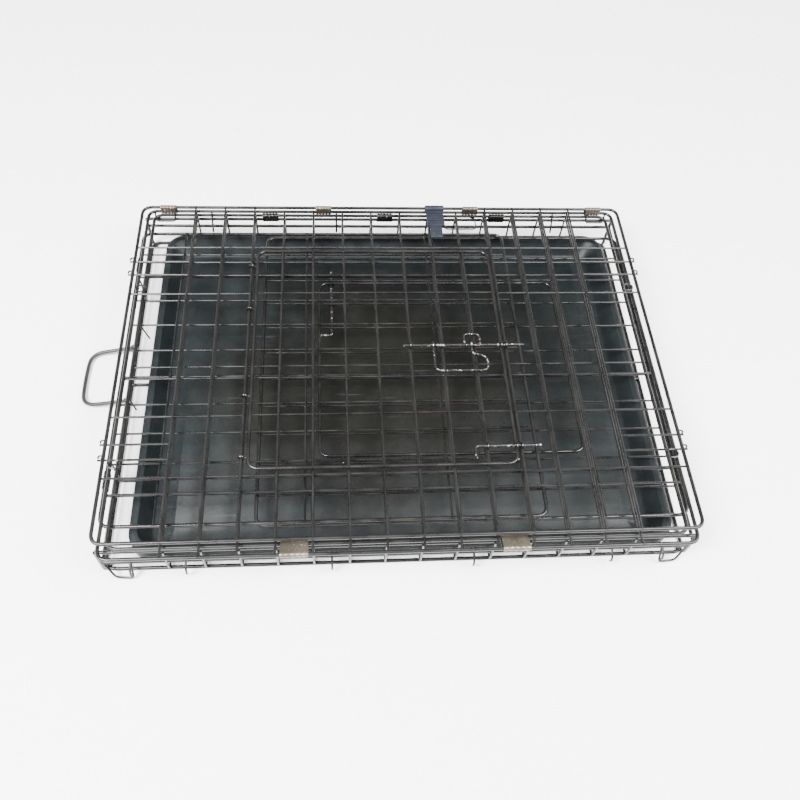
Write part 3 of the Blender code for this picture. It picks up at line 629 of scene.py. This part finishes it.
# ---------------------------------------------------------------- wire panels
def floor_grid():
    """Floor grid with lips, riser wires, hooks, corner loops and the handle's mount wire."""
    outline = side_points(rectangle((-HALF_X, HALF_X), (-HALF_Y, HALF_Y), FLOOR_Z))
    ring = wire_mesh("floor_ring", [outline], FRAME_R, 4, closed=True)
    inner = FRAME_R + GRID_R - WELD_SINK
    near_y = -HALF_Y - inner
    lip_y = HALF_Y - inner
    low_z = FLOOR_Z + 0.0002
    high_z = low_z + 2 * WEAVE
    top_z = LEFT_END_Z + 0.0012
    risers = [bent([(x, near_y, top_z), (x, near_y, high_z), (x, lip_y, high_z), (x, lip_y, top_z)], 0.005)
              for x in GRID_XS]
    left_x = -HALF_X + inner
    runs = [bent([(left_x, y, RIGHT_END_Z + 0.0012), (left_x, y, low_z), (HALF_X, y, low_z)], 0.005)
            for y in (-FLOOR_RUN_Y, FLOOR_RUN_Y)]
    grid = wire_mesh("floor_grid_wires", risers + runs, GRID_R, 3)
    lip_wires = ((-HALF_Y, MID_LIP_Z), (-HALF_Y, LEFT_END_Z), (HALF_Y, FAR_MID_LIP_Z), (HALF_Y, LEFT_END_Z))
    lips = [slack((-HALF_X, y, z), (HALF_X, y, z)) for y, z in lip_wires]
    lips += [slack((-HALF_X, -HALF_Y, z), (-HALF_X, HALF_Y, z)) for z in (HANDLE_Z, RIGHT_END_Z)]
    lips.append(slack((HALF_X, -HALF_Y, RIGHT_LIP_Z), (HALF_X, HALF_Y, RIGHT_LIP_Z)))
    lips.append(slack((-HALF_X, 0.0, FLOOR_Z), (HALF_X, 0.0, FLOOR_Z)))
    lips += [bent([(sx * HALF_X, sy * HALF_Y, LEFT_END_Z), (sx * HALF_X, sy * HALF_Y, FLOOR_Z),
                   (sx * (HALF_X - 0.006), sy * (HALF_Y - 0.006), FLOOR_Z)], 0.006)
             for sx in (-1, 1) for sy in (-1, 1)]
    heavy = wire_mesh("floor_lips", lips, FRAME_R, 4)
    hooks = [bent([(x, -HALF_Y, MID_LIP_Z + 0.0005), (x, -HALF_Y - 0.0085, MID_LIP_Z - 0.003),
                   (x, -HALF_Y - HOOK_OUT, 0.011), (x, -HALF_Y - 0.0095, 0.0065)], SMALL_BEND)
             for x in HOOK_XS]
    # loops that key the lips together at the near corners
    loops = []
    for sx in (-1, 1):
        loops.append(bent([(sx * (HALF_X - 0.002), -HALF_Y - 0.0005, MID_LIP_Z),
                           (sx * (HALF_X - 0.013), -HALF_Y - 0.0100, 0.0050),
                           (sx * (HALF_X - 0.030), -HALF_Y - HOOK_OUT, 0.0035),
                           (sx * (HALF_X - 0.029), -HALF_Y, MID_LIP_Z)], SMALL_BEND))
    small = wire_mesh("floor_hooks", hooks + loops, GRID_R, 3)
    spots = [(x, y, FLOOR_Z + 0.0012) for x in GRID_XS for y in (-FLOOR_RUN_Y, 0.0, FLOOR_RUN_Y)]
    spots += [(x, y - 0.0015, z) for x in GRID_XS for y, z in lip_wires]
    piece = merged("floor_grid_wire", [ring, grid, heavy, small, weld_beads("floor_welds", spots)])
    return dress(piece, WIRE, "floor", ["floor_grid"])


def left_end():
    """Left end panel."""
    x_range = (-HALF_X, END_REACH)
    x_spans = [(y, *x_range) for y in END_YS]
    y_spans = [(x, -END_HALF_Y, END_HALF_Y) for x in LEFT_END_XS]
    low_z = LEFT_END_Z - 0.0033
    bail_path = bent([(-0.2790, 0.0370, low_z), (-0.2950, 0.0600, low_z), (-0.2950, -0.0420, low_z),
                      (-0.2830, -0.0600, low_z)], 0.006)
    bail = wire_mesh("left_bail", [bail_path], CURL_R, 3)
    piece = wire_panel("left_end_wire", x_range, (-END_HALF_Y, END_HALF_Y), LEFT_END_Z, x_spans, y_spans,
                       extras=(bail,))
    return dress(piece, WIRE, "floor", ["left_end_panel"])


def right_end():
    """Right end panel, open where its door hangs."""
    x_range = (-END_REACH, HALF_X)
    low = END_DOOR_X[0] - 0.008
    high = END_DOOR_X[1] + 0.008
    x_spans = []
    for y in END_YS:
        if abs(y) > END_DOOR_HALF_Y:
            x_spans.append((y, *x_range))
        else:
            x_spans += [(y, x_range[0], low), (y, high, x_range[1])]
    y_spans = [(x, -END_HALF_Y, END_HALF_Y) for x in (low, high)]
    y_spans += [(END_MIDDLE_X, s * END_HALF_Y, s * 3.5 * PITCH) for s in (-1, 1)]
    keeper = eye("end_keeper_eye", (END_BOLT_X, 3.5 * PITCH, END_BOLT_Z), (0, 1, 0), BOLT_R)
    piece = wire_panel("right_end_wire", x_range, (-END_HALF_Y, END_HALF_Y), RIGHT_END_Z, x_spans, y_spans,
                       extras=(keeper,))
    return dress(piece, WIRE, "floor", ["right_end_panel"])


def end_door():
    """Door of the right end panel."""
    z = END_DOOR_Z
    y_range = (-END_DOOR_HALF_Y + 0.004, END_DOOR_HALF_Y)
    x_spans = [(y, *END_DOOR_X) for y in END_YS if abs(y) < 0.1]
    extras = []
    for number, x in enumerate(END_EYE_XS):
        extras.append(eye(f"end_eye_{number}", (x, -3.5 * PITCH, z), (1, 0, 0), GRID_R))
        start = -3.5 * PITCH + GRID_R + GAP + EYE_R
        arm = [(x, start, z), (x, y_range[0] + 0.001, z)]
        extras.append(wire_mesh(f"end_arm_{number}", [arm], EYE_R, 2))
    for number, y in enumerate((2.5 * PITCH, END_DOOR_HALF_Y)):
        extras.append(eye(f"end_guide_eye_{number}", (END_BOLT_X, y, END_BOLT_Z), (0, 1, 0), BOLT_R))
    piece = wire_panel("end_door_wire", END_DOOR_X, y_range, z, x_spans, [(END_MIDDLE_X, *y_range)],
                       DOOR_R, END_WEAVE, extras)
    return dress(piece, DOOR_WIRE, "floor", ["end_door"])


def back_panel():
    """Back panel."""
    x_range = (-BACK_HALF_X, BACK_HALF_X)
    y_range = (BACK_NEAR_Y, HALF_Y)
    x_spans = [(y, *x_range) for y in BACK_YS]
    low_z = BACK_Z - 0.0034
    low_x, high_x, near_y = 0.077, 0.118, 0.206
    catch_path = bent([(low_x, HALF_Y, low_z), (low_x, near_y, low_z), (high_x, near_y, low_z),
                       (high_x, HALF_Y, low_z), (high_x - 0.006, HALF_Y + 0.0015, low_z)], 0.005)
    catch = wire_mesh("back_catch", [catch_path], 0.0009, 3)
    piece = wire_panel("back_wire", x_range, y_range, BACK_Z, x_spans, [(x, *y_range) for x in GRID_XS],
                       extras=(catch,))
    return dress(piece, WIRE, "back", ["back_panel"])


def roof_panel():
    """Roof panel and its four locking hooks."""
    x_range = (-ROOF_HALF_X, ROOF_HALF_X)
    y_range = (ROOF_Y, HALF_Y)
    x_spans = [(y, *x_range) for y in ROOF_YS]
    hooks = []
    for x in ROOF_HOOK_XS:
        hooks.append(bent([(x, HALF_Y - inward, ROOF_Z + up) for inward, up in ROOF_HOOK_POINTS], SMALL_BEND))
    # square loops near the far corners that hang into the panel below
    for sx in (-1, 1):
        outer_x = sx * (ROOF_HALF_X - 0.007)
        inner_x = sx * (ROOF_HALF_X - 0.031)
        hooks.append(bent([(outer_x, HALF_Y, ROOF_Z), (outer_x, HALF_Y - LOOP_IN, ROOF_Z - LOOP_DOWN),
                           (inner_x, HALF_Y - LOOP_IN, ROOF_Z - LOOP_DOWN), (inner_x, HALF_Y, ROOF_Z)],
                          SMALL_BEND))
    extra = wire_mesh("roof_hook_wires", hooks, GRID_R, 3)
    piece = wire_panel("roof_wire", x_range, y_range, ROOF_Z, x_spans, [(x, *y_range) for x in GRID_XS],
                       extras=(extra,))
    return dress(piece, WIRE, "roof", ["roof_panel"])


def front_panel():
    """Front panel with the door opening, side stubs, curled ends and bolt keepers."""
    x_range = (-HALF_X, HALF_X)
    y_range = (-HALF_Y, HALF_Y)
    x_spans = [(SILL_Y, *x_range), (HEADER_Y, *x_range)]
    for y in DOOR_RAILS:
        x_spans += [(y, -HALF_X, DOOR_HINGE_X), (y, DOOR_LATCH_X, HALF_X)]
    y_spans = []
    for x in GRID_XS:
        if x < DOOR_HINGE_X + 0.001 or x > DOOR_LATCH_X - 0.001:
            y_spans.append((x, *y_range))
        else:
            y_spans.append((x, -HALF_Y, SILL_Y))
    stubs = [[(sx * (HALF_X + 0.0058), y, FRONT_Z - WEAVE), (sx * 6.5 * PITCH, y, FRONT_Z - WEAVE)]
             for y in STUB_YS for sx in (-1, 1)]
    # small curls on the stub ends, and wider ones just inside the frame
    small_angles = [k * pi / 5 for k in range(-2, 7)]
    wide_angles = [k * pi / 6 for k in range(-4, 8)]
    curls = []
    for sx in (-1, 1):
        for y in STUB_YS:
            curls.append([Vector((sx * (HALF_X + 0.0028) + 0.0022 * cos(a), y + 0.0020 * sin(a) + 0.0026,
                                  FRONT_Z - WEAVE + 0.0016)) for a in small_angles])
        for y, turn in ((0.093, 1), (-0.139, -1)):
            curls.append([Vector((sx * (HALF_X - 0.012 + 0.006 * cos(a)), y + turn * 0.005 * sin(a),
                                  FRONT_Z - WEAVE + 0.0006)) for a in wide_angles])
    extras = [wire_mesh("front_stub_wires", stubs, GRID_R, 3), wire_mesh("front_curls", curls, CURL_R, 2)]
    for number, y in enumerate((UPPER_BOLT_Y, LOWER_BOLT_Y)):
        extras.append(eye(f"front_keeper_{number}", (DOOR_LATCH_X, y, BOLT_Z), (1, 0, 0), BOLT_R))
    piece = wire_panel("front_wire", x_range, y_range, FRONT_Z, x_spans, y_spans, extras=extras)
    return dress(piece, WIRE, "front", ["front_panel"])


def side_door():
    """Side door with curled hinge eyes and bolt guides."""
    x_spans = [(y, *DOOR_X) for y in DOOR_RAILS]
    y_spans = [(x, *DOOR_Y) for x in GRID_XS if DOOR_X[0] + 0.01 < x < DOOR_X[1] - 0.01]
    extras = []
    for number, y in enumerate(DOOR_EYE_YS):
        extras.append(eye(f"side_eye_{number}", (DOOR_HINGE_X, y, DOOR_Z), (0, 1, 0), GRID_R))
        start = DOOR_HINGE_X + GRID_R + GAP + EYE_R
        arm = [(start, y, DOOR_Z), (DOOR_X[0] + 0.001, y, DOOR_Z)]
        extras.append(wire_mesh(f"side_arm_{number}", [arm], EYE_R, 2))
    for number, (x, y) in enumerate(((0.5 * PITCH, UPPER_BOLT_Y), (DOOR_X[1], UPPER_BOLT_Y),
                                     (2.5 * PITCH, LOWER_BOLT_Y), (DOOR_X[1], LOWER_BOLT_Y))):
        extras.append(eye(f"guide_eye_{number}", (x, y, BOLT_Z), (1, 0, 0), BOLT_R))
    piece = wire_panel("side_door_wire", DOOR_X, DOOR_Y, DOOR_Z, x_spans, y_spans,
                       DOOR_R, DOOR_WEAVE, extras)
    return dress(piece, DOOR_WIRE, "side_door", ["side_door"])


# ---------------------------------------------------------------- bolts and handle
def bolts():
    """Slide bolts and the upper one's pull loop."""
    rod_path = slack((UPPER_TAIL_X, UPPER_BOLT_Y, BOLT_Z), (BOLT_TIP_X, UPPER_BOLT_Y, BOLT_Z), 9, 0.0)
    rod = wire_mesh("upper_rod_wire", [rod_path], BOLT_R, 4)
    low_x, high_x = STAPLE_X
    staple_path = bent([(low_x, UPPER_BOLT_Y, BOLT_Z), (low_x, STAPLE_Y, BOLT_Z),
                        (high_x, STAPLE_Y, BOLT_Z), (high_x, UPPER_BOLT_Y, BOLT_Z)], 0.005)
    staple = wire_mesh("rod_staple", [staple_path], EYE_R, 3)
    dress(merged("upper_rod_wire", [rod, staple]), BOLT, "upper_rod", ["upper_bolt_rod"], 50)
    lower_path = bent([(LOWER_TAIL_X, LOWER_BOLT_Y - BOLT_TAIL, BOLT_Z),
                       (LOWER_TAIL_X, LOWER_BOLT_Y, BOLT_Z), (BOLT_TIP_X, LOWER_BOLT_Y, BOLT_Z)], SMALL_BEND)
    lower = wire_mesh("lower_rod_wire", [lower_path], BOLT_R, 4)
    dress(lower, BOLT, "lower_rod", ["lower_bolt_rod"], 50)
    left, right = LOOP_X
    top = UPPER_BOLT_Y - BOLT_R - GAP - EYE_R
    far = loop_low.y + GRID_R
    loop_path = bent([(left, top, BOLT_Z), (left, far, BOLT_Z), (right, far, BOLT_Z),
                      (right, LOOP_JOG_Y[0], BOLT_Z), (LOOP_EYE_X, LOOP_JOG_Y[1], BOLT_Z),
                      (LOOP_EYE_X, top, BOLT_Z)], 0.0085, 8)
    loop = wire_mesh("pull_loop", [loop_path], GRID_R, 4)
    eyes = [eye(f"pull_eye_{number}", (x, UPPER_BOLT_Y, BOLT_Z), (1, 0, 0), BOLT_R)
            for number, x in enumerate((left, LOOP_EYE_X))]
    dress(merged("upper_loop_wire", [loop, *eyes]), BOLT, "upper_loop", ["upper_bolt_loop"], 50)
    tail_y, tip_y = END_BOLT_Y
    end_path = bent([(END_BOLT_X - BOLT_TAIL, tail_y, END_BOLT_Z), (END_BOLT_X, tail_y, END_BOLT_Z),
                     (END_BOLT_X, tip_y, END_BOLT_Z)], SMALL_BEND)
    end_rod = wire_mesh("end_rod_wire", [end_path], BOLT_R, 4)
    dress(end_rod, BOLT, "end_bolt", ["end_door_bolt"], 50)


def carry_handle():
    """Carry handle: a bowed bail whose ends curl round the left lip."""
    low_z = HANDLE_R + 0.0008
    outer = handle_low.x + HANDLE_R
    low, high = HANDLE_YS
    start_x = HANDLE_X - FRAME_R - GAP - EYE_R
    bail = bent([(start_x, low, HANDLE_Z), (outer + 0.002, low + 0.001, low_z + 0.0010),
                 (outer, (low + high) / 2, low_z), (outer + 0.002, high - 0.001, low_z + 0.0010),
                 (start_x, high, HANDLE_Z)], 0.016, 9)
    grip = wire_mesh("handle_bail", [bail], HANDLE_R, 5)
    eyes = []
    for number, y in enumerate(HANDLE_YS):
        curl = coil_path((HANDLE_X, y, HANDLE_Z), (0, 1, 0), FRAME_R + GAP + EYE_R, 1.35, pi, 2.2 * EYE_R, 14)
        eyes.append(wire_mesh(f"handle_curl_{number}", [curl], EYE_R, 3))
    dress(merged("handle_wire", [grip, *eyes]), HANDLE_WIRE, "handle", ["carry_handle"], 50)


# ---------------------------------------------------------------- clips
def hinge_clip(node, body, look):
    """A sheet sleeve round two wires, with rolled ribs pressed across it and an open seam."""
    low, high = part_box(node)
    along = 1 if "end" in node else 0
    across = 1 - along
    sheet = CLIP_SHEET
    reach = FRAME_R + GAP + sheet       # from a wire's centre to the outside of the sleeve
    lower = Vector((low[across] + reach, low.z + reach))
    upper = Vector((high[across] - reach, high.z - reach))
    if node.startswith("roof"):
        lower.x, upper.x = upper.x, lower.x
    step = upper - lower
    length = high[along] - low[along] - 0.0004
    radius = reach - sheet / 2 - 0.0002
    piece = block(node + "_sheet", (0, 0, 0), (length, step.length + 2 * radius, 2 * radius))
    edit("EDGE")
    pick(piece, "EDGE", lambda a, b: abs(a.x - b.x) > 0.5 * length)
    bpy.ops.mesh.bevel(offset=radius * 0.98, segments=5, affect="EDGES")
    bpy.ops.mesh.select_mode(type="FACE")
    pick(piece, "FACE", lambda face: abs(face.normal.x) > 0.9)
    bpy.ops.mesh.delete(type="ONLY_FACE")
    # open seam under the curve round the lower wire
    seam_y = -step.length / 2 - 0.25 * radius
    seam_end = seam_y - 0.4 * radius
    pick(piece, "FACE", lambda face: face.center.z < -0.5 * radius and seam_end < face.center.y < seam_y)
    bpy.ops.mesh.delete(type="FACE")
    bpy.ops.mesh.select_mode(type="EDGE")
    pick(piece, "EDGE", lambda a, b: abs(a.x - b.x) > 0.5 * length)
    bpy.ops.mesh.subdivide(number_cuts=19)
    # every other pair of rings swells into a rib, as rolled into the sheet
    pitch = length / 20
    bpy.ops.mesh.select_mode(type="VERT")
    pick(piece, "VERT", lambda co: round((co.x + length / 2) / pitch) % 4 in (1, 2))
    bpy.ops.transform.resize(value=(1.0, 1.0 + 0.0004 / (step.length + 2 * radius), 1.14))
    bpy.ops.object.mode_set(mode="OBJECT")
    wall = piece.modifiers.new("wall", "SOLIDIFY")
    wall.thickness = sheet
    wall.offset = 0.0
    middle = (lower + upper) / 2
    run = Vector((0, 0, 0))
    cross = Vector((0, 0, step.y / step.length))
    run[along] = 1.0
    cross[across] = step.x / step.length
    place = Matrix((run, cross, run.cross(cross))).transposed().to_4x4()
    centre = Vector((0, 0, middle.y))
    centre[across] = middle.x
    centre[along] = (low[along] + high[along]) / 2
    place.translation = centre
    piece.matrix_world = place
    return dress(piece, look, body, [node], 40)


def travel_clip():
    """Navy plastic clip: a jaw round the top rail, a stepped tongue and finger ribs."""
    jaw_wall = 0.0018
    slab_z = FRONT_Z - 0.0008
    root_y = HALF_Y - 0.030         # near end of the tongue's wide root
    stem_y = HALF_Y - 0.028         # far end of its narrow stem
    first_rib = 0.0085
    rib_pitch = 0.0042
    middle_x = (clip_low.x + clip_high.x) / 2
    width = clip_high.x - clip_low.x
    deselect()
    bpy.ops.mesh.primitive_cylinder_add(vertices=40, radius=FRAME_R + 0.0022, depth=width,
                                        location=(middle_x, HALF_Y, FRONT_Z), rotation=(0, pi / 2, 0),
                                        end_fill_type="NOTHING")
    jaw = bpy.context.object
    wall = jaw.modifiers.new("wall", "SOLIDIFY")
    wall.thickness = jaw_wall
    wall.offset = -1.0
    edge = jaw.modifiers.new("edge", "BEVEL")
    edge.width = 0.0004
    edge.segments = 2
    settle(jaw)
    parts = [jaw]
    # the wide root of the tongue, then its narrow stem
    near_y = clip_low.y
    for x_size, y0, y1, thick in (
            (width * 0.92, root_y, HALF_Y - 0.0032, 0.0030),
            (0.0155, near_y + 0.0004, stem_y, 0.0026)):
        deselect()
        bpy.ops.mesh.primitive_cube_add(size=1.0, location=(middle_x, (y0 + y1) / 2, slab_z))
        slab = bpy.context.object
        slab.scale = (x_size, y1 - y0, thick)
        choose([slab])
        bpy.ops.object.transform_apply(location=True, rotation=True, scale=True)
        edge = slab.modifiers.new("edge", "BEVEL")
        edge.width = 0.0009
        edge.segments = 3
        settle(slab)
        parts.append(slab)
    for rib in range(4):
        y = HALF_Y - first_rib - rib * rib_pitch
        deselect()
        bpy.ops.mesh.primitive_cube_add(size=1.0, location=(middle_x, y, FRONT_Z + 0.0009))
        bar = bpy.context.object
        bar.scale = (width * 0.74, 0.0016, 0.0012)
        choose([bar])
        bpy.ops.object.transform_apply(location=True, rotation=True, scale=True)
        edge = bar.modifiers.new("edge", "BEVEL")
        edge.width = 0.0005
        edge.segments = 2
        settle(bar)
        parts.append(bar)
    dress(merged("travel_clip_body", parts), NAVY, "travel_clip", ["travel_clip"], 40)


# ---------------------------------------------------------------- pan
def pan_tray():
    """Moulded tray: leaning walls, rounded corners, rolled rim and a floor with a shallow gutter."""
    sheet = 0.0020
    rim = 0.0056
    rim_drop = 0.0150
    # the rim stays clear of the lips, and the sheet grows upwards from its modelled surface
    low = pan_low + Vector((0.0095, 0.0025, 0.0))
    high = pan_high - Vector((0.0095, 0.0060, sheet))
    centre = (low + high) / 2
    size = high - low
    piece = block("pan_tray", centre, (size.x - 2 * rim, size.y - 2 * rim, size.z))
    edit("EDGE")
    pick(piece, "EDGE", lambda a, b: abs(a.z - b.z) > 0.01)
    bpy.ops.mesh.bevel(offset=0.022, segments=7, affect="EDGES")
    # the walls lean in towards the floor, the near one least
    lean, near_lean = 0.012, 0.003
    bpy.ops.mesh.select_mode(type="FACE")
    pick(piece, "FACE", lambda face: face.normal.z < -0.9)
    bpy.ops.transform.resize(value=(1 - 2 * lean / size.x, 1 - (lean + near_lean) / size.y, 1.0))
    bpy.ops.transform.translate(value=(0.0, (near_lean - lean) / 2, 0.0))
    bpy.ops.mesh.select_mode(type="EDGE")
    pick(piece, "EDGE", lambda a, b: max(a.z, b.z) < pan_low.z + 1e-5)
    bpy.ops.mesh.bevel(offset=0.0045, segments=3, affect="EDGES")
    bpy.ops.mesh.select_mode(type="FACE")
    # gutter round the floor, with the middle raised
    pick(piece, "FACE", lambda face: face.normal.z < -0.99 and face.area > 0.05)
    bpy.ops.mesh.inset(thickness=0.016, depth=0.0)
    bpy.ops.mesh.inset(thickness=0.0025, depth=-0.0012)
    pick(piece, "FACE", lambda face: face.normal.z > 0.9 and face.area > 0.05)
    bpy.ops.mesh.delete(type="ONLY_FACE")
    # rolled rim: out, then down
    top = high.z
    bpy.ops.mesh.select_mode(type="EDGE")
    pick(piece, "EDGE", lambda a, b: min(a.z, b.z) > top - 1e-5)
    bpy.ops.mesh.extrude_region_move()
    bpy.ops.transform.resize(value=(1 + 1.2 * rim / size.x, 1 + 1.2 * rim / size.y, 1.0))
    bpy.ops.mesh.extrude_region_move()
    bpy.ops.transform.resize(value=(1 + 0.75 * rim / size.x, 1 + 0.75 * rim / size.y, 1.0))
    bpy.ops.transform.translate(value=(0.0, 0.0, -0.0008))
    bpy.ops.mesh.extrude_region_move()
    bpy.ops.transform.translate(value=(0.0, 0.0, -rim_drop))
    bpy.ops.object.mode_set(mode="OBJECT")
    wall = piece.modifiers.new("wall", "SOLIDIFY")
    wall.thickness = sheet
    wall.offset = -1.0
    edge = piece.modifiers.new("edge", "BEVEL")
    edge.width = 0.0006
    edge.segments = 2
    edge.limit_method = "ANGLE"
    dress(piece, PAN, "pan", ["pan"], 40)


# ---------------------------------------------------------------- camera, floor and light
def studio():
    """Camera at the viewing angle, a pale floor and soft light."""
    data = bpy.data.cameras.new("camera")
    data.lens = 36.54
    data.sensor_width = 36.0
    camera = bpy.data.objects.new("camera", data)
    camera.location = (-0.0697, -0.5437, 0.8047)
    camera.rotation_euler = (radians(32.954), radians(-3.503), radians(-3.232))
    bpy.context.scene.collection.objects.link(camera)
    bpy.context.scene.camera = camera
    deselect()
    bpy.ops.mesh.primitive_plane_add(size=8.0, location=(0, 0, 0))
    floor = bpy.context.object
    floor.name = "studio_floor"
    made, tree, shader = blank("pale_floor")
    skin = grouped(tree, SKIN, Peel_Scale=9.0, Grain_Scale=160.0, Grain_Share=0.3)
    tone = range_node(tree.nodes, tree.links, skin.outputs["Tone"], 0.3, 0.75)
    tree.links.new(mixed(tree, tone.outputs[0], (0.97, 0.97, 0.965), (0.95, 0.947, 0.94)),
                   shader.inputs["Base Color"])
    shader.inputs["Roughness"].default_value = 0.6
    bumped(tree, shader, skin.outputs["Height"], 0.1, 0.001)
    floor.data.materials.append(made)
    world = bpy.data.worlds.new("studio_world")
    bpy.context.scene.world = world
    world.use_nodes = True
    sky = world.node_tree.nodes["Background"]
    sky.inputs["Color"].default_value = (1.0, 1.0, 1.0, 1.0)
    sky.inputs["Strength"].default_value = 0.85
    for name, place, size, power in (("key", (-1.3, -0.9, 2.1), 1.0, 360.0),
                                     ("fill", (1.5, -0.5, 2.2), 1.6, 260.0)):
        light = bpy.data.lights.new(name, "AREA")
        light.size = size
        light.energy = power
        lamp = bpy.data.objects.new(name, light)
        lamp.location = place
        lamp.rotation_euler = (-Vector(place)).to_track_quat("-Z", "Y").to_euler()
        bpy.context.scene.collection.objects.link(lamp)


studio()
pan_tray()
floor_grid()
left_end()
right_end()
end_door()
back_panel()
roof_panel()
front_panel()
side_door()
bolts()
carry_handle()
for node_name in sorted(frame["nodes"]):
    if "hinge_clip" in node_name:
        edge_name = node_name.split("_")[0]
        owner = {"front": "roof", "roof": "back"}.get(edge_name, "floor")
        hinge_clip(node_name, owner, {"front": CLIP_DARK, "roof": CLIP}.get(edge_name, CLIP_BLACK))
travel_clip()
